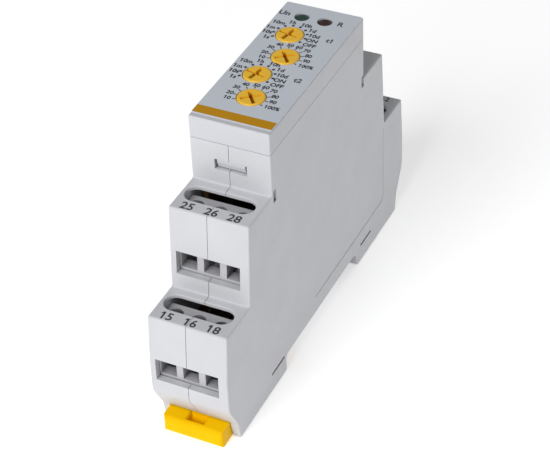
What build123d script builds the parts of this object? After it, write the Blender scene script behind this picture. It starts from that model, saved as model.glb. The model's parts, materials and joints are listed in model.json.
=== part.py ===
"""Two-contact cyclic timer, one module wide, for 35 mm DIN rail.  All sizes in millimetres.

Frame: X runs across the width, +Y runs up the rail side (the release clip is at -Y), +Z points out of
the dial face.  The origin is in the middle of the rail seat, so the rail lies just below Z = 0 and the
case stands on its back feet at Z = BACK_Z.
"""
import os

from build123d import *

# ---- driving dimensions: case ------------------------------------------------------------------
WIDTH = 17.6                # one module
HALF_WIDTH = WIDTH / 2
FACE_Z = 60.0               # front of the cover, under the printed foil
SEAM_Z = 55.0               # cover meets the case
STEP_Z = {"inner": 45.0, "outer": 25.8}     # tops of the two terminal levels
HEAD_Y = 23.0               # half length of the raised front section
STEP_Y = {"inner": 33.4, "outer": 45.0}     # outer edge of each terminal level, at its top
INNER_LEAN_Y = 34.8         # the inner level's wall leans out to here at its foot
BULGE_Y = 46.0              # the end walls swell to here ...
BULGE_Z = 14.5              # ... from this height down
BACK_Z = -4.0               # back of the feet
FOOT_END_Y = 41.75          # outer end of each foot
LOWER_FOOT_Y = -19.2        # rail side of the lower foot
UPPER_FOOT_Y = 19.05        # rail side of the upper foot
WALL = 1.5                  # walls around the outline
SIDE_WALL = 1.0             # the two flat sides
GAP = 0.1                   # seams and loose fits
SEAM_X = -0.3               # parting plane of the two halves, a little left of the middle
RIM = 0.35                  # rounding of outer rims
CAVITY_X = HALF_WIDTH - SIDE_WALL
ROOTED = 0.2                # how far posts and studs reach into the wall they stand on

# ---- driving dimensions: details of the case ----------------------------------------------------
POSTS = [(end * y, z) for end in (-1, 1) for y, z in ((30.0, 8.0), (23.6, 24.0))]   # join the halves
POST_D, PIN_D, PIN_LENGTH = 4.4, 2.6, 5.0
STUDS = [(end * 19.6, z) for end in (-1, 1) for z in (4.6, 46.0)]   # hold the main board
STUD_D = 1.8
FOOT_SLITS_Y = ((-26.4, -20.3), (20.8, 26.8))   # slits in the side faces, above the feet
HEAD_SLITS_Y = ((-22.3, -21.0), (21.8, 23.1))   # slits in the side faces, beside the inner levels
SLIT_DEPTH = {"foot": 1.2, "head": 0.8}
PANEL = (39.6, 21.2, 2.0)   # sunk panel in each side face: length, height, corner radius ...
PANEL_AT = (14.7, 14.9)     # ... its middle (y, z) ...
PANEL_DEPTH = 0.1           # ... and its depth
LATCH_Z = (48.6, 51.0)      # windows that the cover's two snap arms reach into
LATCH_HALF_X = 3.55
RAIL_LIP = [(15.8, -1.2), (19.4, -1.2), (19.4, -3.8), (17.8, -3.8), (15.8, -2.3)]   # fixed hook (y, z)

# ---- driving dimensions: terminals -------------------------------------------------------------
PITCH = 5.08                # between neighbouring terminals
TERMINAL_X = -0.35          # middle terminal of each row
COLUMNS = [TERMINAL_X + PITCH * step for step in (-1, 0, 1)]
SCREW_Y = {"inner": 28.15, "outer": 39.7}   # line of the screws on each level
BLOCK_IN_Y = {"inner": 25.3, "outer": 36.95}    # inner face of each terminal block
BLOCK_HALF_X = 7.35
BLOCK_TOP = 2.5             # the following drops are all measured down from the level's top
BLOCK_BOTTOM = 16.6
FUNNEL_DROP = (11.0, 15.15)     # wire opening in the block
FUNNEL_WIDTH = 3.6
WINDOW_DROP = (10.25, 15.7)     # wire window in the end wall
WINDOW_HALF_X = 7.1
WINDOW_GAP = 0.25           # between the end wall and the block behind it
ROOF = 1.1                  # over each cell of the block
HEAD_D, SHANK_D = 3.7, 2.5  # clamp screw
ACCESS_D = 3.3              # hole over each screw
HEAD_DROP = (3.95, 5.4)
SHANK_DROP = 9.75
BAR_DROP = (9.8, 10.6)      # contact bar
BAR_HALF_X = 0.9
CAGE_DROP = (5.6, 11.9)     # clamped position
CELL = (3.9, 4.3)           # shaft that guides a cage, across and along the wire
CAGE = (3.6, 3.9)           # across and along the wire
SLOT = (15.2, 4.75)         # screwdriver slot in the top of a level
SLOT_INWARD = 0.62          # from the line of the screws to the middle of the slot
SLOT_ROOF = 0.85            # thickness of the level's top around the slot

# ---- driving dimensions: front -----------------------------------------------------------------
DIALS = {"t1_range": (-2.6, 10.83), "t1_fine": (0.07, 2.92), "t2_range": (-2.4, -5.08),
         "t2_fine": (0.1, -12.97)}
RECESSES = {                # X of the point where the arms meet, and each arm's direction, reach and depth
    "range": (-0.25, ((78, 2.2, 1.4), (168, 2.3, 1.4), (258, 2.2, 1.4), (348, 2.2, 0.9))),
    "fine": (0.0, ((127, 1.9, 1.6), (307, 2.5, 1.6), (37, 2.2, 0.7), (217, 2.2, 0.7))),
}
ARM_WIDTH = 0.8
DIAL_D = 5.9
DIAL_TOP_Z = 60.4
DIAL_FLANGE_D = 7.1
STEM_D = 3.0
STEM_Z = (52.6, 57.2)
FLANGE_Z = (57.0, 58.3)
HOLE_PLAY = 0.3             # holes in the cover are this much wider than the dials and lamps in them
TURNED_HALF, TURNED_TOP_Z = 3.4, 55.6       # code switches and trimmers under the dials
LEAD_D = 0.5
LEDS = {"green": (-3.2, 18.2), "red": (2.05, 18.2)}
LED_D = 3.0
LED_BASE_Z, LED_TOP_Z = 53.2, 60.05
FOIL = 0.2
FOIL_Y = (-21.75, 22.8)
SKIRT_Z = 53.4              # the cover's skirt reaches down inside the case to here
SKIRT_WALL = 1.0
HOOK_HALF_X = 3.1           # snap arms of the cover
HOOK_Y = 22.75
ARM_WALL = 1.1

# ---- driving dimensions: electronics -----------------------------------------------------------
DISPLAY_BOARD_X, DISPLAY_BOARD_Y = (-7.0, 7.0), (-19.8, 19.9)
DISPLAY_BOARD_Z = (48.9, 50.1)
MAIN_BOARD_X = (-7.6, -6.4)
MAIN_BOARD_Y = 21.4
MAIN_BOARD_Z = (2.6, 48.0)
RELAY = (16.8, 12.6, 10.7)  # length along Y, width along Z, height along X
RELAY_ORIGINS = {"relay_1": (-0.6, 18.6), "relay_2": (17.4, 18.6)}      # inner corner on the board (y, z)
RELAY_AXIS_H = 5.6          # coil axis above the board
HINGE_L, HINGE_H = 12.1, 9.75   # armature hinge, along and above the board

# ---- driving dimensions: rail clip --------------------------------------------------------------
CLIP_HALF_X = 6.85
CLIP_FRONT_Y = -46.3
CLIP_TOP_Z = 0.35
CLIP_BACK_Z = -3.7
TOOL_SLOT_X = (-1.9, 2.1)   # slot in the tab for a screwdriver
CHANNEL_HALF_X = 7.0         # channel in the lower foot that the clip slides in
CHANNEL_TOP_Z = 0.6
CLIP_FLOOR = 1.4            # thickness of the case above the channel ...
CLIP_FLOOR_Y = -17.6        # ... which ends here
GROOVE_HALF_X = 7.7         # grooves for the clip's side rails
GROOVE_Y = (-41.2, -22.5)
GROOVE_Z = (-2.8, -1.4)
RAIL_HALF_X = 7.55
RAIL_Y = (-37.0, -22.65)
RAIL_Z = (-2.6, -1.6)
PEG_HALF_X = 1.8
NOSE_Y = -16.6
PEG_Y = (-37.5, -36.0)      # case peg that the clip spring pushes against
POCKET_Y = (-37.7, -24.0)   # pocket in the clip that holds the spring
SPRING_D, SPRING_WIRE, SPRING_TURNS = 2.9, 0.35, 9

parts = {}


def block(x, y, z):
    """Box between two X, two Y and two Z values."""
    size = (abs(x[1] - x[0]), abs(y[1] - y[0]), abs(z[1] - z[0]))
    return Pos((x[0] + x[1]) / 2, (y[0] + y[1]) / 2, (z[0] + z[1]) / 2) * Box(*size)


def rod(axis, at, span, diameter):
    """Round bar along X, Y or Z.  at holds its other two coordinates in X, Y, Z order."""
    middle, length = (span[0] + span[1]) / 2, abs(span[1] - span[0])
    bar = Cylinder(diameter / 2, length)
    if axis == "x":
        return Pos(middle, at[0], at[1]) * Rot(0, 90, 0) * bar
    if axis == "y":
        return Pos(at[0], middle, at[1]) * Rot(90, 0, 0) * bar
    return Pos(at[0], at[1], middle) * bar


def side_prism(points, x):
    """Straight-sided outline in the Y-Z plane, as thick as the span x."""
    outline = Plane.YZ.offset(x[0]) * make_face(Polyline(*points, close=True))
    return extrude(outline, amount=x[1] - x[0])


def flip_y(shape):
    """The same shape at the other end of the case."""
    return mirror(shape, Plane.XZ)


def merge(shapes):
    """Group of separate solids in one node."""
    return Compound(children=list(shapes))


# ---- case ----------------------------------------------------------------------------------------
def end_corners(sign):
    """Corners of one end as (y, z, rounding), from the seam down to the back of the foot."""
    inner, outer = STEP_Z["inner"], STEP_Z["outer"]
    corners = [
        (HEAD_Y, SEAM_Z - GAP / 2, 0), (HEAD_Y, inner, 0.4), (STEP_Y["inner"], inner, 0.5),
        (INNER_LEAN_Y, outer, 0.4), (STEP_Y["outer"], outer, 0.5), (BULGE_Y, BULGE_Z, 20),
        (BULGE_Y, 6.6, 6), (42.6, 0.5, 4), (FOOT_END_Y, BACK_Z, 0.3),
    ]
    return [(sign * y, z, rounding) for y, z, rounding in corners]


def case_outline():
    """Closed outline of the case below the cover, as sharp and as rounded faces."""
    seat = [(UPPER_FOOT_Y, BACK_Z, 0.3), (UPPER_FOOT_Y, 0, 2.5), (LOWER_FOOT_Y, 0, 0.9),
            (LOWER_FOOT_Y, BACK_Z, 0.3)]
    corners = end_corners(1) + seat + end_corners(-1)[::-1]
    sharp = make_face(Polyline(*[(y, z) for y, z, _ in corners], close=True))
    rounded = sharp
    for y, z, rounding in corners:
        if rounding:
            nearest = min(rounded.vertices(), key=lambda v: abs(v.X - y) + abs(v.Y - z))
            rounded = fillet(nearest, rounding)
    return sharp, rounded


def cut_screwdriver_slot(shell, level, end, middle):
    """The shell with a stadium slot through the top of a terminal level, its rim rounded."""
    top, y = STEP_Z[level], end * (SCREW_Y[level] - SLOT_INWARD)
    around = (y - SLOT[1] / 2 - 0.7, y + SLOT[1] / 2 + 0.7)
    shell -= block((-SLOT[0], CAVITY_X), around, (top - WALL - 0.1, top - SLOT_ROOF))
    shell -= extrude(Pos(middle, y, top) * SlotOverall(*SLOT), amount=-2 * WALL)
    rim = [
        edge for edge in shell.edges()
        if abs(edge.center().Z - top) < 0.01 and abs(edge.center().Y - y) < SLOT[1] / 2 + 0.01
        and abs(edge.center().X - middle) < SLOT[0] / 2 - 0.1 and edge.length > 1
    ]
    return fillet(rim, RIM)


def wire_window(level, end, middle):
    """Window through the end wall, in front of the wire openings."""
    drop = [STEP_Z[level] - value for value in WINDOW_DROP]
    span = [end * (STEP_Y[level] - 2), end * (BULGE_Y + 3)]
    return block((middle - WINDOW_HALF_X, middle + WINDOW_HALF_X), span, drop)


def half_shell(side):
    """Right half of the case for side 1.  For side -1, the mirror image of the left half."""
    seam, middle = side * SEAM_X + GAP / 2, side * TERMINAL_X
    inner = -1                  # cuts start here, short of the parting plane
    sharp, rounded = case_outline()
    shell = extrude(Plane.YZ.offset(seam) * rounded, amount=HALF_WIDTH - seam)
    face = shell.faces().sort_by(Axis.X)[-1]
    rim = [edge for edge in face.outer_wire().edges() if edge.center().Z < SEAM_Z - 1]
    shell = fillet(rim, RIM)

    inside = offset(sharp, -WALL, kind=Kind.INTERSECTION)
    hollow = extrude(Plane.YZ.offset(inner) * inside, amount=CAVITY_X - inner)
    hollow += block((inner, CAVITY_X), (-HEAD_Y + WALL, HEAD_Y - WALL), (50, SEAM_Z + 1))
    hollow -= block((inner, HALF_WIDTH), (-50, CLIP_FLOOR_Y), (BACK_Z, CHANNEL_TOP_Z + CLIP_FLOOR))
    shell -= hollow

    shell -= block((inner, CHANNEL_HALF_X), (-50, LOWER_FOOT_Y + 0.3), (BACK_Z - 1, CHANNEL_TOP_Z))
    shell -= block((inner, GROOVE_HALF_X), GROOVE_Y, GROOVE_Z)
    shell += block((seam, PEG_HALF_X), PEG_Y, (BACK_Z + 1, CHANNEL_TOP_Z + 0.5))
    shell += side_prism(RAIL_LIP, (seam, 6.3))

    for level, end in (("inner", -1), ("outer", -1), ("outer", 1)):
        shell = cut_screwdriver_slot(shell, level, end, middle)
        shell -= wire_window(level, end, middle)
    for end in (-1, 1):
        through = [end * (HEAD_Y - 2), end * (HEAD_Y + 1)]
        shell -= block((inner, LATCH_HALF_X), through, LATCH_Z)
    for kind, slits_y, z in (("foot", FOOT_SLITS_Y, (0.15, 0.85)), ("head", HEAD_SLITS_Y, (43.05, 45.95))):
        for y in slits_y:
            shell -= block((HALF_WIDTH - SLIT_DEPTH[kind], HALF_WIDTH + 1), y, z)
    panel = Plane.YZ.offset(HALF_WIDTH) * (Pos(*PANEL_AT) * RectangleRounded(*PANEL))
    return shell - extrude(panel, amount=-PANEL_DEPTH)


def housings():
    """Two case halves.  The left one carries the posts and the studs for the main board."""
    right = half_shell(1)
    left = mirror(half_shell(-1), Plane.YZ)
    wall_x, meet_x = CAVITY_X + ROOTED, 0.3
    for at in POSTS:
        right += rod("x", at, (meet_x + GAP, wall_x), POST_D)
        right -= rod("x", at, (0, PIN_LENGTH + 2 * GAP), PIN_D + 2 * GAP)
        left += rod("x", at, (-wall_x, meet_x), POST_D) + rod("x", at, (0, PIN_LENGTH), PIN_D)
    for at in STUDS:
        left += rod("x", at, (-wall_x, MAIN_BOARD_X[1] + 0.4), STUD_D)
    parts["left_housing"] = left
    parts["right_housing"] = right


def front_cover():
    """Cap over the raised section, held by one snap arm at each end."""
    bottom = SEAM_Z + GAP / 2
    cover = block((-HALF_WIDTH, HALF_WIDTH), (-HEAD_Y, HEAD_Y), (bottom, FACE_Z))
    cover = fillet(cover.edges().filter_by(Axis.Z), RIM)
    cover = fillet(cover.faces().sort_by(Axis.Z)[-1].outer_wire().edges(), 0.3)
    inside_y = HEAD_Y - WALL
    cover -= block((-CAVITY_X, CAVITY_X), (-inside_y, inside_y), (bottom - 1, FACE_Z - WALL))
    skirt_x, skirt_y = CAVITY_X - GAP, inside_y - GAP
    skirt = block((-skirt_x, skirt_x), (-skirt_y, skirt_y), (SKIRT_Z, FACE_Z - WALL))
    hollow_x, hollow_y = skirt_x - SKIRT_WALL, skirt_y - SKIRT_WALL
    cover += skirt - block((-hollow_x, hollow_x), (-hollow_y, hollow_y), (SKIRT_Z - 1, FACE_Z))
    arm_x, arm_y, arm_low = (-HOOK_HALF_X, HOOK_HALF_X), skirt_y - ARM_WALL, LATCH_Z[0] + 0.3
    hook = [(arm_y + 0.8, LATCH_Z[1] - GAP), (HOOK_Y, LATCH_Z[1] - GAP), (HOOK_Y, LATCH_Z[1] - 0.9),
            (HOOK_Y - 0.45, arm_low), (arm_y + 0.8, arm_low)]
    arm = block(arm_x, (skirt_y, arm_y), (arm_low, SKIRT_Z + 0.6)) + side_prism(hook, arm_x)
    cover += [arm, flip_y(arm)]
    cover -= front_openings(FACE_Z - 3, FACE_Z + 1)
    return cover


def front_openings(low, high):
    """Holes for the dials and the indicator lamps, as one cutting shape."""
    cuts = [rod("z", at, (low, high), DIAL_D + HOLE_PLAY) for at in DIALS.values()]
    cuts += [rod("z", at, (low, high), LED_D + HOLE_PLAY) for at in LEDS.values()]
    return Part() + cuts


def front_foil():
    """Printed foil on the cover."""
    foil = block((-HALF_WIDTH + 0.12, HALF_WIDTH - 0.12), FOIL_Y, (FACE_Z, FACE_Z + FOIL))
    foil = fillet(foil.edges().filter_by(Axis.Z), 0.4)
    return foil - front_openings(FACE_Z - 1, FACE_Z + 1)


# ---- dials and what they turn ---------------------------------------------------------------------
def dial(name):
    """Yellow dial: recessed cap, flange under the cover and a stem into the part below."""
    at = DIALS[name]
    cap = rod("z", at, (FLANGE_Z[0] + 0.4, DIAL_TOP_Z), DIAL_D)
    cap = fillet(cap.edges().sort_by(Axis.Z)[-1], 0.4)
    cap += rod("z", at, FLANGE_Z, DIAL_FLANGE_D) + rod("z", at, STEM_Z, STEM_D)
    meet, arms = RECESSES[name.split("_")[1]]
    for direction, reach, depth in arms:
        width = (-ARM_WIDTH / 2, ARM_WIDTH / 2)
        arm = block((-ARM_WIDTH / 2, reach), width, (DIAL_TOP_Z - depth, DIAL_TOP_Z + 1))
        cap -= Pos(at[0] + meet, at[1]) * Rot(0, 0, direction) * arm
    return cap


def turned_part(name):
    """Rotary code switch or trimmer on the display board, with a bore for the dial's stem."""
    (x, y), code_switch = DIALS[name], name.endswith("range")
    half = TURNED_HALF
    body = block((x - half, x + half), (y - half, y + half), (DISPLAY_BOARD_Z[1], TURNED_TOP_Z))
    body = chamfer(body.edges().filter_by(Axis.Z), 0.9 if code_switch else 0.4)
    body -= rod("z", (x, y), (STEM_Z[0] - 0.4, TURNED_TOP_Z + 1), STEM_D + GAP)
    pins = [(-2, -2.6), (2, -2.6)] + ([(-2, 2.6), (2, 2.6)] if code_switch else [(0, 2.6)])
    for dx, dy in pins:
        body += rod("z", (x + dx, y + dy), (DISPLAY_BOARD_Z[0] - 0.5, DISPLAY_BOARD_Z[1] + 0.5), LEAD_D)
    return body


def lamp(at):
    """Indicator lamp: flat-topped lens with a rounded rim and a collar, on two leads."""
    lens = fillet(rod("z", at, (LED_BASE_Z, LED_TOP_Z), LED_D).edges().sort_by(Axis.Z)[-1], 0.4)
    lens += rod("z", at, (LED_BASE_Z, LED_BASE_Z + 0.9), LED_D + 0.6)
    for dx in (-1.27, 1.27):
        lens += rod("z", (at[0] + dx, at[1]), (DISPLAY_BOARD_Z[0] - 0.5, LED_BASE_Z + 0.3), LEAD_D)
    return lens


def display_board():
    """Board under the cover that carries dials, lamps and the controller."""
    board = block(DISPLAY_BOARD_X, DISPLAY_BOARD_Y, DISPLAY_BOARD_Z)
    for name in DIALS:
        board -= turned_part(name)
    for at in LEDS.values():
        board -= lamp(at)
    return board - board_connector()


# ---- main board -----------------------------------------------------------------------------------
def main_board():
    """Upright board against the left side, on four studs."""
    board = block(MAIN_BOARD_X, (-MAIN_BOARD_Y, MAIN_BOARD_Y), MAIN_BOARD_Z)
    for at in STUDS:
        board -= rod("x", at, (-HALF_WIDTH, 0), STUD_D + GAP)
    return board


def board_connector():
    """Pin strip from the main board up into the display board."""
    body = block((MAIN_BOARD_X[1], MAIN_BOARD_X[1] + 1), (-6.4, 6.4), (44.4, DISPLAY_BOARD_Z[0]))
    for index in range(5):
        body += rod("z", (MAIN_BOARD_X[1] + 0.5, 2.54 * (index - 2)), (48, DISPLAY_BOARD_Z[1]), 0.6)
    return body


def can_capacitor(y, z):
    """Aluminium can standing on the main board."""
    base = MAIN_BOARD_X[1]
    can = rod("x", (y, z), (base, base + 11.4), 8.0)
    can = fillet(can.edges().sort_by(Axis.X)[-1], 0.5)
    groove = rod("x", (y, z), (base + 1.2, base + 2.0), 9.0) - rod("x", (y, z), (base + 1, base + 2.2), 7.3)
    return can - groove


def power_parts():
    """Parts that turn the supply voltage into the controller's own."""
    base = MAIN_BOARD_X[1]
    parts["smoothing_capacitors"] = merge([can_capacitor(-12.6, 8.6), can_capacitor(-3.6, 8.6)])
    film = block((base, base + 11.0), (4.4, 17.4), (3.6, 9.8))
    parts["film_capacitor"] = fillet(film.edges(), 0.3)
    disc = rod("z", (base + 5.6, 8.6), (12.0, 15.8), 9.4)
    disc = fillet(disc.edges(), 1.2)
    for dy in (-2.5, 2.5):
        disc += rod("x", (8.6 + dy, 13.9), (base, base + 4), 0.7)
    parts["varistor"] = disc
    bridge = block((base + 0.5, base + 2.9), (-16.5, -10.3), (34.0, 38.4))
    bridge = chamfer(bridge.edges().filter_by(Axis.X), 0.3)
    for dy in (-15.6, -11.2):
        bridge += block((base, base + 1.2), (dy - 0.5, dy + 0.5), (33.2, 39.2))
    parts["bridge_rectifier"] = bridge
    chip = block((base + 0.4, base + 1.9), (-3.7, 3.8), (34.0, 41.5))
    chip -= rod("x", (-2.6, 40.4), (base + 1.7, base + 3), 0.9)
    for index in range(6):
        offset_y = (index - 2.5) * 1.1
        chip += block((base, base + 1.0), (offset_y - 0.2, offset_y + 0.2), (33.2, 42.3))
        chip += block((base, base + 1.0), (-4.5, 4.6), (37.75 + offset_y - 0.2, 37.75 + offset_y + 0.2))
    parts["microcontroller"] = chip


# ---- relays ----------------------------------------------------------------------------------------
def relay(name, origin):
    """Sealed change-over relay.  l runs along the relay, w across it and h up from the main board."""
    length, width, height = RELAY
    y0, z0 = origin
    base = MAIN_BOARD_X[1]
    middle = width / 2

    def at(h, l, w):
        """Box given in the relay's own directions."""
        return block((base + h[0], base + h[1]), (y0 - l[1], y0 - l[0]), (z0 + w[0], z0 + w[1]))

    def along(h, l, w, diameter):
        """Rod along the relay."""
        return rod("y", (base + h, z0 + w), (y0 - l[1], y0 - l[0]), diameter)

    posts = {
        "closed": at((0.0, 3.4), (14.1, 14.6), (middle - 1.2, middle + 1.2)),
        "open": at((0.0, 3.4), (11.45, 11.75), (middle - 1.2, middle + 1.2)),
    }
    foot = at((0, 1.4), (0, length), (0, width))
    parts[name + "_base"] = foot - posts["closed"] - posts["open"]

    case = at((1.4, height), (0, length), (0, width))
    case = fillet([e for e in case.edges() if e.center().X > base + 2], 0.5)
    case -= at((1, height - 0.6), (0.6, length - 0.6), (0.6, width - 0.6))
    parts[name + "_case"] = case

    bobbin = along(RELAY_AXIS_H, (1.95, 11.3), middle, 3.4)
    for end in ((1.95, 2.75), (10.5, 11.3)):
        bobbin += at((RELAY_AXIS_H - 3.4, RELAY_AXIS_H + 3.4), end, (middle - 3.8, middle + 3.8))
    bobbin -= along(RELAY_AXIS_H, (1, 12), middle, 2.4)
    winding = along(RELAY_AXIS_H, (2.75, 10.5), middle, 6.4) - along(RELAY_AXIS_H, (2, 11), middle, 3.4)
    parts[name + "_coil"] = merge([bobbin, winding])

    yoke = at((1.9, 9.9), (1.05, 1.95), (middle - 3.2, middle + 3.2))
    yoke += at((9.1, 9.9), (1.05, 11.95), (middle - 3.2, middle + 3.2))
    yoke += along(RELAY_AXIS_H, (1.5, 11.6), middle, 2.3)
    parts[name + "_yoke"] = yoke

    armature = at((3.9, HINGE_H), (HINGE_L, HINGE_L + 0.8), (middle - 3.0, middle + 3.0))
    parts[name + "_armature"] = armature

    arm = at((2.0, 8.6), (HINGE_L + 0.8, HINGE_L + 1.0), (middle - 1.0, middle + 1.0))
    arm += along(2.8, (HINGE_L + 0.5, HINGE_L + 1.4), middle, 1.5)
    parts[name + "_contact_arm"] = arm

    fixed = [
        posts["closed"] + along(2.8, (13.55, 14.2), middle, 1.5),
        posts["open"] + along(2.8, (11.6, 11.85), middle, 1.5),
    ]
    parts[name + "_fixed_contacts"] = merge(fixed)


# ---- screw terminals --------------------------------------------------------------------------------
TERMINALS = {               # level, end of the case, and the marks printed beside the three screws
    "inner_lower": ("inner", -1, ("25", "26", "28")),
    "outer_lower": ("outer", -1, ("15", "16", "18")),
    "outer_upper": ("outer", 1, ("a1", "s", "a2")),
}


def terminal_block(level):
    """Moulded carrier for three cage clamps, at the lower end of the case."""
    top, inner_y = STEP_Z[level], BLOCK_IN_Y[level]
    high, low = top - BLOCK_TOP, top - BLOCK_BOTTOM
    foot_y, foot_z = {"inner": (INNER_LEAN_Y, STEP_Z["outer"]), "outer": (BULGE_Y, BULGE_Z)}[level]
    lean, inward = (foot_y - STEP_Y[level]) / (top - foot_z), WALL + WINDOW_GAP
    front = [(inward - STEP_Y[level] - lean * (top - z), z) for z in (high, max(low, foot_z))]
    if low < foot_z:
        front.append((inward - foot_y, low))
    width = (TERMINAL_X - BLOCK_HALF_X, TERMINAL_X + BLOCK_HALF_X)
    carrier = side_prism(front + [(-inner_y, low), (-inner_y, high)], width)
    screw_y = -SCREW_Y[level]
    cell_y = (screw_y - CELL[1] / 2, screw_y + CELL[1] / 2)
    for x in COLUMNS:
        carrier -= block((x - CELL[0] / 2, x + CELL[0] / 2), cell_y, (low - 1, high - ROOF))
        carrier -= rod("z", (x, screw_y), (high - 2, high + 1), ACCESS_D)
        funnel_x = (x - FUNNEL_WIDTH / 2, x + FUNNEL_WIDTH / 2)
        carrier -= block(funnel_x, (-50, screw_y), [top - drop for drop in FUNNEL_DROP])
        bar_z = (top - BAR_DROP[1] - GAP / 2, top - BAR_DROP[0] + GAP / 2)
        carrier -= block((x - BAR_HALF_X - GAP, x + BAR_HALF_X + GAP), (screw_y, -20), bar_z)
        carrier -= block(funnel_x, (screw_y, -20), (top - FUNNEL_DROP[1], bar_z[0] + GAP))
    return carrier


def clamp_screw(x, level):
    """M2.5 screw with a combined slot and cross recess."""
    top, y = STEP_Z[level], -SCREW_Y[level]
    head_top = top - HEAD_DROP[0]
    screw = rod("z", (x, y), (top - HEAD_DROP[1], head_top), HEAD_D)
    screw = chamfer(screw.edges().sort_by(Axis.Z)[-1], 0.2)
    screw += rod("z", (x, y), (top - SHANK_DROP, top - HEAD_DROP[1] + 0.2), SHANK_D)
    recess = (head_top - 0.8, head_top + 1)
    screw -= block((x - 2, x + 2), (y - 0.3, y + 0.3), recess)
    return screw - block((x - 0.3, x + 0.3), (y - 1.1, y + 1.1), recess)


def clamp_cage(x, level):
    """Lifting cage: threaded top, open along the wire, grooved floor."""
    top, y = STEP_Z[level], -SCREW_Y[level]
    high, low = top - CAGE_DROP[0], top - CAGE_DROP[1]
    half_x, half_y = CAGE[0] / 2, CAGE[1] / 2
    cage = block((x - half_x, x + half_x), (y - half_y, y + half_y), (low, high))
    cage = fillet(cage.edges().filter_by(Axis.Y), 0.3)
    cage -= block((x - half_x + 0.5, x + half_x - 0.5), (y - 3, y + 3), (low + 0.8, high - 1.6))
    cage -= rod("z", (x, y), (high - 2, high + 1), SHANK_D + GAP)
    for dy in (-1.2, -0.4, 0.4, 1.2):
        cage -= block((x - 1.1, x + 1.1), (y + dy - 0.15, y + dy + 0.15), (low + 0.65, low + 1))
    return cage


def contact_bar(index, level):
    """Bar from the clamp to the main board, bent sideways so that the three never meet."""
    top, screw_y = STEP_Z[level], -SCREW_Y[level]
    x = COLUMNS[index]
    bar_z = (top - BAR_DROP[1], top - BAR_DROP[0])
    leg_end = -20.9 + 1.35 * index
    bar = block((x - BAR_HALF_X, x + BAR_HALF_X), (screw_y - 1.7, leg_end), bar_z)
    return bar + block((MAIN_BOARD_X[1], x), (leg_end - 0.8, leg_end), bar_z)


def terminals():
    """Three blocks, their contact bars, and a screw and a cage for each of the nine terminals."""
    bars = []
    for place, (level, end, marks) in TERMINALS.items():
        turn = flip_y if end > 0 else (lambda shape: shape)
        parts["terminal_block_" + place] = turn(terminal_block(level))
        for index, mark in enumerate(marks):
            x = COLUMNS[index]
            parts["screw_" + mark] = turn(clamp_screw(x, level))
            parts["cage_" + mark] = turn(clamp_cage(x, level))
            bars.append(turn(contact_bar(index, level)))
    parts["contact_bars"] = merge(bars)


# ---- rail clip --------------------------------------------------------------------------------------
def rail_clip():
    """Sliding foot: pull tab outside, spring pocket in the middle, nose behind the rail."""
    half = CLIP_HALF_X
    head = block((-half, half), (CLIP_FRONT_Y, -41.9), (BACK_Z + GAP, CLIP_TOP_Z))
    front_edges = [e for e in head.edges() if abs(e.center().Y - CLIP_FRONT_Y) < 0.01]
    head = fillet(front_edges, 0.95)
    clip = head + block((-half, half), (-42, -21), (CLIP_BACK_Z, CLIP_TOP_Z))
    clip += block((-RAIL_HALF_X, RAIL_HALF_X), RAIL_Y, RAIL_Z)
    nose = [(-21.2, CLIP_BACK_Z), (-18.2, CLIP_BACK_Z), (NOSE_Y, -2.2), (NOSE_Y, -1.15), (-21.2, -1.15)]
    clip += side_prism(nose, (-6.0, 6.0))
    clip -= block((-2.1, 2.1), POCKET_Y, (-3.2, 1))
    clip -= side_prism([(-45.2, 1), (-45.2, -5), (-44.0, -5), (-42.3, 1)], TOOL_SLOT_X)
    middle = (TOOL_SLOT_X[0] + TOOL_SLOT_X[1]) / 2
    lead_in = Pos(middle, -43.7, CLIP_TOP_Z) * Rectangle(TOOL_SLOT_X[1] - TOOL_SLOT_X[0] + 0.6, 3.2)
    return clip - extrude(lead_in, amount=-0.3, taper=45)


def clip_spring():
    """Compression spring between the case peg and the clip's pocket."""
    radius = (SPRING_D - SPRING_WIRE) / 2
    low, high = PEG_Y[1] + SPRING_WIRE / 2, POCKET_Y[1] - SPRING_WIRE / 2
    path = Helix(pitch=(high - low) / SPRING_TURNS, height=high - low, radius=radius)
    profile = Plane(origin=path @ 0, z_dir=path % 0) * Circle(SPRING_WIRE / 2)
    return Pos(0, low, -1.6) * Rot(-90, 0, 0) * sweep(profile, path=path)


# ---- all sub-parts -----------------------------------------------------------------------------------
housings()
parts["front_cover"] = front_cover()
parts["front_foil"] = front_foil()
for dial_name in DIALS:
    parts["dial_" + dial_name] = dial(dial_name)
    turned = "code_switch_" if dial_name.endswith("range") else "trimmer_"
    parts[turned + dial_name] = turned_part(dial_name)
for lamp_name, lamp_at in LEDS.items():
    parts["lamp_" + lamp_name] = lamp(lamp_at)
parts["display_board"] = display_board()
parts["main_board"] = main_board()
parts["board_connector"] = board_connector()
power_parts()
for relay_name, relay_origin in RELAY_ORIGINS.items():
    relay(relay_name, relay_origin)
terminals()
parts["rail_clip"] = rail_clip()
parts["clip_spring"] = clip_spring()

os.makedirs("parts", exist_ok=True)
for node, shape in parts.items():
    export_step(shape, f"parts/{node}.step")
print(len(parts), "sub-parts written")
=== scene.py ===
"""Looks of the one-module DIN rail timer: materials, print, inner detail, floor, light and camera.

Everything is in the frame of the CAD model.  Lengths in this file are millimetres, times MM.
"""

import json
import math

import bmesh
import bpy
from mathutils import Matrix, Vector

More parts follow.
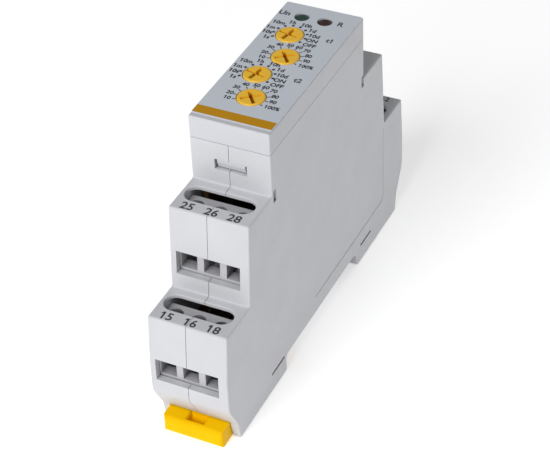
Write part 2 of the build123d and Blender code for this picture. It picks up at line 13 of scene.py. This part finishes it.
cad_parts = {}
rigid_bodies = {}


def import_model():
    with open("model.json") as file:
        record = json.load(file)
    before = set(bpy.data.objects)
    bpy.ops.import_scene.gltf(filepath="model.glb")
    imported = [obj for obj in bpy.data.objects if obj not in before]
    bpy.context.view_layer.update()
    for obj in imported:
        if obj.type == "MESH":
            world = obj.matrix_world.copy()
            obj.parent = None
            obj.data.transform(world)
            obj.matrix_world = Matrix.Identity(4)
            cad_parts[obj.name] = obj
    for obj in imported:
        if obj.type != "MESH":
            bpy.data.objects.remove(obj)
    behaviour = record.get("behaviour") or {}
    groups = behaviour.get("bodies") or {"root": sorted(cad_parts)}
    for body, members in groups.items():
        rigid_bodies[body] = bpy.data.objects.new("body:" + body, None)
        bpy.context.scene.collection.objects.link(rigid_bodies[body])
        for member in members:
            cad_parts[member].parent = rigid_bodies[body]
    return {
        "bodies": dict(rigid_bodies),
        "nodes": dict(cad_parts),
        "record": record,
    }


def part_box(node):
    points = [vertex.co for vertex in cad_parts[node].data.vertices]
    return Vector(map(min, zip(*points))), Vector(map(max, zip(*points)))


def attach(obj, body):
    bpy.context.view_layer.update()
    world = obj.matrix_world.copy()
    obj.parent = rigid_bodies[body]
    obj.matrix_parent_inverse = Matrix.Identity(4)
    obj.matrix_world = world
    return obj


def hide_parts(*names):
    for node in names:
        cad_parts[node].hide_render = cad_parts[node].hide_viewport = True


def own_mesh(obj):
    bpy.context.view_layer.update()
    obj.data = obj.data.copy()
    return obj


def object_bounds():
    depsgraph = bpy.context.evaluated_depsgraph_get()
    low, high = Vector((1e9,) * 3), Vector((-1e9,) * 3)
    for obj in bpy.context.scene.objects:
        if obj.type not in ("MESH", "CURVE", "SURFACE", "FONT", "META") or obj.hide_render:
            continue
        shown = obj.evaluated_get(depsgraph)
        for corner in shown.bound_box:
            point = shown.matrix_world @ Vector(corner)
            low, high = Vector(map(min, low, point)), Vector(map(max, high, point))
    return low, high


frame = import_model()
cad_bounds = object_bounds()
nodes = frame["nodes"]
MM = 0.001


def node_box(name):
    """Lowest and highest corner of a CAD node, in millimetres."""
    low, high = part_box(name)
    return low / MM, high / MM


# ---- materials -----------------------------------------------------------------------------------
def colour(red, green, blue):
    """Linear colour from the usual 0 to 255 values."""
    def linear(value):
        value /= 255
        return value / 12.92 if value <= 0.04045 else ((value + 0.055) / 1.055) ** 2.4

    return (linear(red), linear(green), linear(blue), 1.0)


PAINTED_SHADE_FROM, PAINTED_SHADE_FULL = 0.28, 0.07     # open share of the surroundings where the painted shade starts and ends
PAINTED_SHADE_KEEP = 0.06                       # part of the colour that is left in full painted shade


class Shader:
    """A principled material with short ways to add nodes, in millimetres of the object's own space."""

    def __init__(self, name, base, roughness=0.5, metallic=0.0, **sockets):
        self.material = bpy.data.materials.new(name)
        self.material.use_nodes = True
        self.tree = self.material.node_tree
        self.bsdf = self.tree.nodes["Principled BSDF"]
        self.bsdf.inputs["Base Color"].default_value = base
        self.bsdf.inputs["Roughness"].default_value = roughness
        self.bsdf.inputs["Metallic"].default_value = metallic
        for socket, value in sockets.items():
            self.bsdf.inputs[socket.replace("_", " ")].default_value = value
        self.base = base

    def node(self, kind, **values):
        made = self.tree.nodes.new(kind)
        for key, value in values.items():
            if key in made.inputs:
                made.inputs[key].default_value = value
            else:
                setattr(made, key, value)
        return made

    def link(self, source, target):
        self.tree.links.new(source, target)

    def millimetres(self, stretch=(1, 1, 1)):
        """Object coordinates in millimetres."""
        place = self.node("ShaderNodeTexCoord")
        scaled = self.node("ShaderNodeMapping")
        scaled.inputs["Scale"].default_value = [1000 * value for value in stretch]
        self.link(place.outputs["Object"], scaled.inputs["Vector"])
        return scaled.outputs["Vector"]

    def noise(self, size, detail=3.0, stretch=(1, 1, 1), roughness=0.5):
        """Noise with features about size millimetres across."""
        made = self.node("ShaderNodeTexNoise", Scale=1.0 / size, Detail=detail, Roughness=roughness)
        self.link(self.millimetres(stretch), made.inputs["Vector"])
        return made.outputs["Fac"]

    def ramp(self, factor, low, high):
        """The factor, spread from low to high."""
        made = self.node("ShaderNodeMapRange")
        made.inputs["From Min"].default_value = 0.3
        made.inputs["From Max"].default_value = 0.7
        made.inputs["To Min"].default_value = low
        made.inputs["To Max"].default_value = high
        self.link(factor, made.inputs["Value"])
        return made.outputs["Result"]

    def tint(self, factor, other, strength=1.0):
        """Base colour mixed towards another by a factor."""
        mix = self.node("ShaderNodeMix", data_type="RGBA")
        mixed = [self.base[i] + (other[i] - self.base[i]) * strength for i in range(3)]
        mix.inputs[7].default_value = (*mixed, 1)
        mix.inputs[6].default_value = self.base
        self.link(factor, mix.inputs["Factor"])
        self.link(mix.outputs[2], self.bsdf.inputs["Base Color"])
        return mix

    def paint_shade_in_recesses(self, mix, depth):
        """Painted shade: the colour darkened down in narrow gaps and pockets, where little light gets in.
        """
        closed = self.node("ShaderNodeAmbientOcclusion", Distance=depth * MM, samples=8)
        shade_amount = self.node("ShaderNodeMapRange")
        shade_amount.inputs["From Min"].default_value = PAINTED_SHADE_FROM
        shade_amount.inputs["From Max"].default_value = PAINTED_SHADE_FULL
        self.link(closed.outputs["AO"], shade_amount.inputs["Value"])
        painted_shade = self.node("ShaderNodeMix", data_type="RGBA")
        painted_shade.inputs[7].default_value = (*[value * PAINTED_SHADE_KEEP for value in self.base[:3]], 1)
        self.link(mix.outputs[2], painted_shade.inputs[6])
        self.link(shade_amount.outputs["Result"], painted_shade.inputs["Factor"])
        self.link(painted_shade.outputs[2], self.bsdf.inputs["Base Color"])

    def vary_roughness(self, factor, low, high):
        self.link(self.ramp(factor, low, high), self.bsdf.inputs["Roughness"])

    def bump(self, factor, height, strength=1.0):
        """Surface relief of a given height in millimetres."""
        made = self.node("ShaderNodeBump", Strength=strength, Distance=height * MM)
        self.link(factor, made.inputs["Height"])
        self.link(made.outputs["Normal"], self.bsdf.inputs["Normal"])


def moulded(name, base, roughness, grain=0.12, relief=0.006, mottle=0.05, painted_shade_reach=0.0, **sockets):
    """Moulded plastic: spark-eroded grain, slow colour drift, uneven sheen and, when asked, painted shade
    in recesses.
    """
    made = Shader(name, base, roughness, **sockets)
    darker = [value * (1 - mottle) for value in base[:3]]
    mix = made.tint(made.ramp(made.noise(9.0), 0, 1), darker)
    # painted shade: colour darkened in narrow gaps and pockets by ambient occlusion
    if painted_shade_reach:
        made.paint_shade_in_recesses(mix, painted_shade_reach)
    made.vary_roughness(made.noise(1.5), roughness - 0.06, roughness + 0.06)
    made.bump(made.noise(grain, detail=2), relief)
    return made.material


def painted_recess_shade(name, base, shade_colour, top, bottom):
    """Moulded plastic with painted shade: its colour darkens down a recess, from a top to a bottom height.
    """
    made = Shader(name, base, 0.4)
    split = made.node("ShaderNodeSeparateXYZ")
    made.link(made.millimetres(), split.inputs["Vector"])
    depth = made.node("ShaderNodeMapRange")
    depth.inputs["From Min"].default_value = top
    depth.inputs["From Max"].default_value = bottom
    made.link(split.outputs["Z"], depth.inputs["Value"])
    # painted shade: the colour darkens with depth down the recess
    made.tint(depth.outputs["Result"], shade_colour)
    made.vary_roughness(made.noise(0.8), 0.34, 0.46)
    made.bump(made.noise(0.1, detail=2), 0.003)
    return made.material


def lens(name, base, fleck_and_highlight):
    """Dark clear plastic with paler flecks, partly from the chip under it and partly painted highlights."""
    made = Shader(name, base, 0.12, Coat_Weight=0.2, Specular_IOR_Level=0.3)
    # paler flecks at random, partly painted highlights on the lens
    made.tint(made.ramp(made.noise(0.7, detail=1), 0, 1), fleck_and_highlight, 0.5)
    made.vary_roughness(made.noise(1.2), 0.08, 0.2)
    return made.material


def metal(name, base, roughness, stretch=(1, 1, 1), size=0.3, relief=0.003, stain=0.15):
    """Plated or drawn metal: fine lines along one direction and slightly stained plating."""
    made = Shader(name, base, roughness, metallic=1.0)
    darker = [value * (1 - stain) for value in base[:3]]
    made.tint(made.ramp(made.noise(2.5), 0, 1), darker)
    made.vary_roughness(made.noise(size, stretch=stretch), roughness - 0.08, roughness + 0.1)
    made.bump(made.noise(size, stretch=stretch), relief)
    return made.material


PAINTED_SHADE_REACH = 8.0            # how far round a point of the case is looked at for walls, for its painted shade in recesses
DIAL_PAINTED_SHADE = (60.2, 59.0)  # heights between which the dials' colour darkens, as painted shade in the recess

# painted shade in the recesses of the case and the terminal block
case_grey = moulded("case_plastic", colour(208, 209, 213), 0.5, painted_shade_reach=PAINTED_SHADE_REACH)
cover_grey = moulded("cover_plastic", colour(205, 206, 211), 0.48)
block_grey = moulded("block_plastic", colour(196, 196, 200), 0.55, painted_shade_reach=PAINTED_SHADE_REACH)
foil_grey = moulded("foil_print", colour(211, 218, 227), 0.42, grain=0.3, relief=0.002, mottle=0.03)
band_ochre = moulded("band_print", colour(202, 146, 12), 0.45, grain=0.2, relief=0.001, mottle=0.05,
                     Specular_IOR_Level=0.2)
ink_grey = moulded("ink_print", colour(52, 54, 62), 0.5, grain=0.08, relief=0.001, mottle=0.2)
ink_pale = moulded("ink_pale", colour(84, 88, 96), 0.5, grain=0.08, relief=0.001, mottle=0.2)
dial_yellow = painted_recess_shade("dial_plastic", colour(255, 202, 56), colour(205, 142, 14), *DIAL_PAINTED_SHADE)
clip_yellow = moulded("clip_plastic", colour(252, 197, 0), 0.3, grain=0.15, relief=0.004, mottle=0.05,
                      Specular_IOR_Level=0.04)
black_plastic = moulded("black_plastic", colour(32, 32, 34), 0.5)
blue_plastic = moulded("blue_plastic", colour(40, 80, 150), 0.4)
relay_black = moulded("relay_plastic", colour(34, 34, 37), 0.32)
film_grey = moulded("film_box", colour(96, 98, 104), 0.4)
varistor_black = moulded("varistor_coating", colour(36, 37, 42), 0.3, grain=0.6, relief=0.01)
board_brown = moulded("board_laminate", colour(104, 82, 54), 0.4, grain=0.5, relief=0.004)
can_grey = metal("can_aluminium", colour(186, 188, 192), 0.35)
copper = metal("copper_wire", colour(190, 104, 62), 0.35)
iron = metal("relay_iron", colour(170, 170, 166), 0.4)
contact_brass = metal("contact_brass", colour(206, 170, 96), 0.3)
bar_brass = metal("bar_brass", colour(150, 130, 92), 0.38)
screw_steel = metal("screw_steel", colour(186, 186, 184), 0.34)
cage_nickel = metal("cage_nickel", colour(150, 147, 138), 0.4)
spring_steel = metal("spring_steel", colour(170, 170, 172), 0.3)
lens_green = lens("lens_green", colour(20, 46, 38), colour(72, 104, 92))
lens_red = lens("lens_red", colour(38, 14, 16), colour(92, 62, 64))

sleeve_navy = moulded("sleeve_film", colour(30, 34, 62), 0.3, grain=0.4, relief=0.003, mottle=0.1)
silver_print = moulded("silver_print", colour(190, 192, 196), 0.4, relief=0.001)
chip_black = moulded("chip_body", colour(24, 24, 26), 0.45, relief=0.002)
solder = metal("solder", colour(196, 197, 199), 0.28, size=0.6)
track_resist = moulded("track_resist", colour(128, 100, 62), 0.32, relief=0.002)

SLOT_MATERIALS = {
    "case_grey": case_grey, "cover_grey": cover_grey, "printed_foil": foil_grey,
    "dial_yellow": dial_yellow, "black_plastic": black_plastic, "blue_plastic": blue_plastic,
    "lens_green": lens_green, "lens_red": lens_red, "circuit_board": board_brown,
    "capacitor_can": can_grey, "film_grey": film_grey, "black_coating": varistor_black,
    "relay_black": relay_black, "copper_winding": copper, "relay_iron": iron,
    "contact_brass": contact_brass, "block_grey": block_grey, "screw_steel": screw_steel,
    "cage_nickel": cage_nickel, "bar_brass": bar_brass, "clip_yellow": clip_yellow,
    "spring_steel": spring_steel,
}
for part in frame["record"]["subparts"]:
    node_mesh = nodes[part["node"]].data
    node_mesh.materials.clear()
    node_mesh.materials.append(SLOT_MATERIALS[part["material_slot"]])


# ---- print -----------------------------------------------------------------------------------------
INK = 0.02                  # thickness of a print
FOIL_TOP = node_box("front_foil")[1].z
STROKE = 0.15               # width of a letter's stroke, as a part of its height
CAPITAL = 0.73              # height of a capital, as a part of the font's size


def add_piece(name, mesh, material, body="housing"):
    """Mesh as a piece that rides on a body."""
    piece = bpy.data.objects.new(name, mesh)
    bpy.context.scene.collection.objects.link(piece)
    mesh.materials.append(material)
    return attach(piece, body)


def joined(meshes):
    """Several meshes as one."""
    shape = bmesh.new()
    for mesh in meshes:
        shape.from_mesh(mesh)
        bpy.data.meshes.remove(mesh)
    whole = bpy.data.meshes.new("joined")
    shape.to_mesh(whole)
    shape.free()
    return whole


def text_mesh(words, height, at, weight=0.045):
    """Flat lettering with capitals of a given height, its middle at a point, facing +Z."""
    curve = bpy.data.curves.new("lettering", "FONT")
    curve.body = words
    curve.size = height / CAPITAL
    curve.align_x = "CENTER"
    curve.offset = weight * height
    curve.extrude = INK / 2
    curve.resolution_u = 3
    letters = bpy.data.objects.new("lettering", curve)
    mesh = bpy.data.meshes.new_from_object(letters)
    bpy.data.objects.remove(letters)
    left, right = (ends(vertex.co.x for vertex in mesh.vertices) for ends in (min, max))
    foot = Vector((at[0], at[1] - height / 2, at[2] + INK / 2))
    mesh.transform(Matrix.Scale(MM, 4) @ Matrix.Translation(foot))
    flags = []
    if words[0] == "1":
        flags.append(flag_mesh(foot + Vector((left + STROKE / 2 * height, height, 0)), height))
    if words[-1] == "1":
        flags.append(flag_mesh(foot + Vector((right - STROKE / 2 * height, height, 0)), height))
    return joined([mesh, *flags])


def flag_mesh(tip, height):
    """Slanted stroke at the head of a digit one, in lettering of a given height."""
    reach, drop, width = 0.24 * height, 0.22 * height, STROKE * height
    middle = (tip.x - reach / 2, tip.y - (drop + width) / 2, tip.z)
    return bar_mesh(middle, (math.hypot(reach, drop), width, INK), math.atan2(drop, reach))


def bar_mesh(at, size, turn=0.0, rounding=0.0):
    """Block of a given size, its middle at a point, turned about Z, with rounded edges."""
    shape = bmesh.new()
    bmesh.ops.create_cube(shape, size=1)
    shape.transform(Matrix.Diagonal((*size, 1)))
    if rounding:
        bmesh.ops.bevel(shape, geom=shape.edges, offset=rounding, segments=2, affect="EDGES", profile=0.5)
    mesh = bpy.data.meshes.new("bar")
    shape.to_mesh(mesh)
    shape.free()
    mesh.transform(Matrix.Scale(MM, 4) @ Matrix.Translation(Vector(at)) @ Matrix.Rotation(turn, 4, "Z"))
    return mesh


def print_bar(at, length, width, turn=0.0):
    """Printed stroke on the foil, its middle at a point."""
    return bar_mesh((at[0], at[1], FOIL_TOP + INK / 2), (length, width, INK), turn)


SCALE_SWEEP = 240           # degrees from the first mark to the last
RANGE_LABELS = (            # words and their place beside the dial's centre
    ("1s", -4.2, -2.4), ("10s", -4.92, -0.45), ("1m", -4.98, 1.45), ("10m", -4.15, 3.7), ("1h", -1.45, 4.7),
    ("10h", 1.8, 4.6), ("1d", 3.75, 3.2), ("10d", 4.95, 1.4), ("ON", 5.2, -0.4), ("OFF", 5.4, -2.2),
)
FINE_LABELS = (
    ("10", -4.45, -1.7), ("20", -4.65, 0.1), ("30", -4.3, 2.3), ("40", -3.0, 3.8), ("50", -0.8, 4.3),
    ("60", 1.2, 4.3), ("70", 3.2, 3.7), ("80", 4.3, 2.0), ("90", 4.7, 0.1), ("100%", 5.4, -1.8),
)


def dial_scale(name, labels, label_height, mark_radius, mark_size):
    """Marks and words around one dial, the first at lower left and the last at lower right."""
    low, high = node_box(name)
    centre = (low + high) / 2
    meshes = []
    for index, (words, right, up) in enumerate(labels):
        angle = math.radians(90 + SCALE_SWEEP / 2 - SCALE_SWEEP * index / (len(labels) - 1))
        mark_at = (centre.x + mark_radius * math.cos(angle), centre.y + mark_radius * math.sin(angle))
        meshes.append(print_bar(mark_at, *mark_size, turn=angle))
        meshes.append(text_mesh(words, label_height, (centre.x + right, centre.y + up, FOIL_TOP)))
    add_piece("scale_" + name, joined(meshes), ink_grey)


for timer in ("t1", "t2"):
    dial_scale(f"dial_{timer}_range", RANGE_LABELS, 1.2, 3.6, (0.6, 0.55))
    dial_scale(f"dial_{timer}_fine", FINE_LABELS, 1.1, 3.5, (0.66, 0.22))
CAPTIONS = (                # words, place and height
    ("Un", -7.25, 18.5, 1.6), ("R", 5.5, 18.5, 1.55), ("t1", 6.1, 11.8, 1.45), ("t2", 6.15, -4.05, 1.45),
)
caption_meshes = [text_mesh(words, height, (x, y, FOIL_TOP)) for words, x, y, height in CAPTIONS]
add_piece("captions", joined(caption_meshes), ink_pale)
foil_low, foil_high = node_box("front_foil")
BAND_Y = (-21.6, -19.1)
band_at = ((foil_low.x + foil_high.x) / 2, sum(BAND_Y) / 2)
add_piece("band", print_bar(band_at, foil_high.x - foil_low.x - 0.1, BAND_Y[1] - BAND_Y[0]), band_ochre)

TERMINAL_MARKS = {          # height of the level, place along Y, size, and the words with their places
    "inner_lower": (45.0, -31.8, 2.15, (("25", -5.3), ("26", 0.0), ("28", 5.0))),
    "outer_lower": (25.8, -43.4, 2.15, (("15", -5.3), ("16", 0.0), ("18", 5.1))),
    "outer_upper": (25.8, 43.6, 1.6, (("A1", -5.3), ("S", 0.0), ("A2", 5.1))),
}
for place, (level_z, mark_y, mark_height, mark_words) in TERMINAL_MARKS.items():
    mark_meshes = [text_mesh(words, mark_height, (x, mark_y, level_z), 0.025) for words, x in mark_words]
    add_piece("marks_" + place, joined(mark_meshes), ink_grey)


# ---- small parts inside the case ---------------------------------------------------------------------
def turn_to(axis):
    """Matrix that takes +Z to the axis named by a letter."""
    if axis == "x":
        return Matrix.Rotation(math.radians(90), 4, "Y")
    if axis == "y":
        return Matrix.Rotation(math.radians(-90), 4, "X")
    return Matrix.Identity(4)


def skin(rings):
    """Mesh through rings of points, in millimetres, closed at both ends."""
    shape = bmesh.new()
    rows = [[shape.verts.new(Vector(point) * MM) for point in ring] for ring in rings]
    count = len(rows[0])
    for low, high in zip(rows, rows[1:]):
        for index in range(count):
            after = (index + 1) % count
            shape.faces.new((low[index], low[after], high[after], high[index]))
    shape.faces.new(reversed(rows[0]))
    shape.faces.new(rows[-1])
    bmesh.ops.recalc_face_normals(shape, faces=shape.faces)
    mesh = bpy.data.meshes.new("skin")
    shape.to_mesh(mesh)
    shape.free()
    for face in mesh.polygons:
        face.use_smooth = True
    return mesh


def lathe_mesh(at, axis, profile, segments=20):
    """Turned shape on an axis through a point.  The profile holds (along, radius) pairs."""
    place = Matrix.Translation(Vector(at)) @ turn_to(axis)
    rings = []
    for along, radius in profile:
        angles = [2 * math.pi * index / segments for index in range(segments)]
        rings.append([place @ Vector((radius * math.cos(a), radius * math.sin(a), along)) for a in angles])
    return skin(rings)


def coil_mesh(at, axis, length, radius, wire, turns, sides=6, steps=24, dead=0.0):
    """Wire wound round an axis from a point, with a number of dead turns lying flat at each end."""
    place = Matrix.Translation(Vector(at)) @ turn_to(axis)
    rings = []
    total = int(turns * steps)
    rise = length / (turns - 2 * dead)
    for step in range(total + 1):
        turn = step / steps
        along = min(max(turn - dead, 0), turns - 2 * dead) * rise
        angle = 2 * math.pi * turn
        out = Vector((math.cos(angle), math.sin(angle), 0))
        up = Vector((0, 0, 1))
        centre = out * radius + up * along
        around = [2 * math.pi * side / sides for side in range(sides)]
        rings.append([place @ (centre + (out * math.cos(a) + up * math.sin(a)) * wire / 2) for a in around])
    return skin(rings)


# Clip spring, a fixed coil on the housing; the real one shortens as the clip is pulled.
spring_low, spring_high = node_box("clip_spring")
SPRING_WIRE, SPRING_D, SPRING_TURNS = 0.35, 2.9, 11
spring_at = (0.0, spring_low.y + SPRING_WIRE / 2, (spring_low.z + spring_high.z) / 2)
spring_length = spring_high.y - spring_low.y - SPRING_WIRE
spring = add_piece(
    "wound_spring",
    coil_mesh(spring_at, "y", spring_length, (SPRING_D - SPRING_WIRE) / 2, SPRING_WIRE, SPRING_TURNS,
              sides=8, dead=1.0),
    spring_steel,
)
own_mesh(spring)
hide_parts("clip_spring")

# Threads of the clamp screws.
THREAD_PITCH, THREAD_LENGTH, THREAD_RADIUS, THREAD_WIRE, THREAD_START = 0.45, 4.0, 1.24, 0.09, 0.1
for name in sorted(frame["bodies"]):
    if name.startswith("screw_"):
        low, high = node_box(name)
        shank_at = ((low.x + high.x) / 2, (low.y + high.y) / 2, low.z + THREAD_START)
        thread = coil_mesh(shank_at, "z", THREAD_LENGTH, THREAD_RADIUS, THREAD_WIRE,
                           THREAD_LENGTH / THREAD_PITCH, sides=4, steps=16)
        add_piece("thread_" + name[6:], thread, screw_steel, name)

# Wire on the relay coils.
WINDING_RADIUS, WINDING_LENGTH, WINDING_INSET, WINDING_WIRE, WINDING_TURNS = 3.24, 7.4, 0.97, 0.2, 35
for relay in ("relay_1", "relay_2"):
    low, high = node_box(relay + "_coil")
    wire_at = ((low.x + high.x) / 2, low.y + WINDING_INSET, (low.z + high.z) / 2)
    wire = coil_mesh(wire_at, "y", WINDING_LENGTH, WINDING_RADIUS, WINDING_WIRE, WINDING_TURNS,
                     sides=4, steps=20)
    add_piece(relay + "_winding", wire, copper)

# Sleeves of the smoothing capacitors, with the pole stripe facing the front.
board_low, board_high = node_box("main_board")
CAN_PLACES = ((-12.6, 8.6), (-3.6, 8.6))
SLEEVE_RADIUS = 4.07
SLEEVE = [(2.2, 3.98), (2.25, SLEEVE_RADIUS), (10.8, SLEEVE_RADIUS), (10.95, 3.99)]
sleeves = [lathe_mesh((board_high.x, y, z), "x", SLEEVE, 40) for y, z in CAN_PLACES]
add_piece("capacitor_sleeves", joined(sleeves), sleeve_navy)
stripes = [
    bar_mesh((board_high.x + 3.0 + 1.9 * dash, y, z + SLEEVE_RADIUS), (1.3, 0.8, 0.04))
    for y, z in CAN_PLACES for dash in range(4)
]
add_piece("capacitor_stripes", joined(stripes), silver_print)


# Chip resistors and tracks on both boards.
CHIP_ENDS = (-0.85, 0.85)   # places of a chip's tinned ends along it
MAIN_CHIPS_Y, MAIN_CHIPS_Z = (8.0, 11.0, 14.0, 17.0), (34.5, 37.7, 40.9)
DISPLAY_CHIPS_X, DISPLAY_CHIPS_Y = 4.6, (8.6, 10.8, 13.0, -2.6, -4.8, -7.0)


def chip_resistors(name, places, normal):
    """Small chip parts with tinned ends, on a board that faces +X or +Z."""
    bodies, ends = [], []
    for x, y, z in places:
        if normal == "x":
            bodies.append(bar_mesh((x + 0.25, y, z), (0.5, 1.25, 1.5), rounding=0.06))
            for shift in CHIP_ENDS:
                ends.append(bar_mesh((x + 0.26, y, z + shift), (0.54, 1.3, 0.42), rounding=0.08))
        else:
            bodies.append(bar_mesh((x, y, z + 0.25), (1.5, 1.25, 0.5), rounding=0.06))
            for shift in CHIP_ENDS:
                ends.append(bar_mesh((x + shift, y, z + 0.26), (0.42, 1.3, 0.54), rounding=0.08))
    add_piece(name + "_chips", joined(bodies), chip_black)
    add_piece(name + "_chip_ends", joined(ends), solder)


main_places = [(board_high.x, y, z) for y in MAIN_CHIPS_Y for z in MAIN_CHIPS_Z]
chip_resistors("main_board", main_places, "x")
display_low, display_high = node_box("display_board")
display_places = [(DISPLAY_CHIPS_X, y, display_high.z) for y in DISPLAY_CHIPS_Y]
chip_resistors("display_board", display_places, "z")
TRACK = 0.04                # thickness of a track
PIN_TRACKS_Y = (-15.6, -11.2, -2.0, 0.0, 2.0)
main_x, display_z = board_high.x + TRACK / 2, display_high.z + TRACK / 2
tracks = [bar_mesh((main_x, y, MAIN_CHIPS_Z[1]), (TRACK, 0.5, 9.6)) for y in MAIN_CHIPS_Y]
tracks += [bar_mesh((main_x, 12.5, z), (TRACK, 9.5, 0.4)) for z in (32.9, 42.5)]
tracks += [bar_mesh((main_x, y, 32.2), (TRACK, 0.35, 1.4)) for y in PIN_TRACKS_Y]
tracks += [bar_mesh((DISPLAY_CHIPS_X, y, display_z), (3.6, 0.4, TRACK)) for y in DISPLAY_CHIPS_Y]
tracks += [bar_mesh((x, y, display_z), (0.4, 6.4, TRACK)) for x in (2.9, 6.3) for y in (10.8, -4.8)]
add_piece("board_tracks", joined(tracks), track_resist)

# Solder under the display board, one cone for each lead.
leads = []
for timer_dial in ("code_switch_t1_range", "code_switch_t2_range", "trimmer_t1_fine", "trimmer_t2_fine"):
    low, high = node_box(timer_dial)
    x, y = (low.x + high.x) / 2, (low.y + high.y) / 2
    upper = [(x - 2, y + 2.6), (x + 2, y + 2.6)] if timer_dial.startswith("code") else [(x, y + 2.6)]
    leads += [(x - 2, y - 2.6), (x + 2, y - 2.6)] + upper
for lamp_node in ("lamp_green", "lamp_red"):
    low, high = node_box(lamp_node)
    leads += [((low.x + high.x) / 2 + side, (low.y + high.y) / 2) for side in (-1.27, 1.27)]
CONE = [(0.0, 0.75), (-0.12, 0.6), (-0.3, 0.4), (-0.5, 0.3), (-0.62, 0.12)]
cones = [lathe_mesh((x, y, display_low.z), "z", CONE, 12) for x, y in leads]
add_piece("display_board_solder", joined(cones), solder)


# ---- floor, light and camera ------------------------------------------------------------------------
FLOOR_Z = cad_bounds[0][2]
LIGHT_AIM = Vector((0, 0, 0.03))


def add_floor():
    """Pale studio floor under the feet."""
    bpy.ops.mesh.primitive_plane_add(size=6, location=(0, 0, FLOOR_Z - 0.0001))
    floor = bpy.context.object
    floor.name = "floor"
    paint = Shader("floor_paint", (0.9, 0.9, 0.9, 1), 0.9)
    paint.bsdf.inputs["Emission Color"].default_value = (1, 1, 1, 1)
    paint.bsdf.inputs["Emission Strength"].default_value = 0.46
    floor.data.materials.append(paint.material)


def add_light(name, place, size, power):
    """Soft square light at a place in metres, aimed at the middle of the object."""
    lamp = bpy.data.lights.new(name, "AREA")
    lamp.shape = "SQUARE"
    lamp.size = size
    lamp.energy = power
    holder = bpy.data.objects.new(name, lamp)
    bpy.context.scene.collection.objects.link(holder)
    holder.location = place
    aim = LIGHT_AIM - Vector(place)
    holder.rotation_euler = aim.to_track_quat("-Z", "Y").to_euler()


def add_world(strength):
    """Even white surroundings."""
    world = bpy.data.worlds.new("studio")
    world.use_nodes = True
    world.node_tree.nodes["Background"].inputs["Color"].default_value = (1, 1, 1, 1)
    world.node_tree.nodes["Background"].inputs["Strength"].default_value = strength
    bpy.context.scene.world = world


def add_camera(place, azimuth, elevation, roll, focal_length):
    """Camera at a place in millimetres, looking down along an azimuth and an elevation."""
    camera_data = bpy.data.cameras.new("camera")
    camera_data.sensor_width = 36
    camera_data.lens = focal_length
    camera_data.clip_start = 0.01
    camera = bpy.data.objects.new("camera", camera_data)
    bpy.context.scene.collection.objects.link(camera)
    turn = Matrix.Rotation(math.radians(azimuth), 4, "Z")
    tilt = Matrix.Rotation(math.radians(90 - elevation), 4, "X")
    level = Matrix.Rotation(math.radians(roll), 4, "Z")
    camera.matrix_world = Matrix.Translation(Vector(place) * MM) @ turn @ tilt @ level
    bpy.context.scene.camera = camera


add_floor()
add_world(strength=0.26)
add_light("front_soft", place=(-0.1, -0.75, 0.62), size=0.5, power=6.1)
add_light("far_fill", place=(0.2, 0.65, 0.35), size=0.3, power=0.35)
add_camera(place=(133.6, -268.8, 254.3), azimuth=26.84, elevation=38.1, roll=-2.43, focal_length=115.4)
bpy.context.scene.view_settings.view_transform = "Standard"
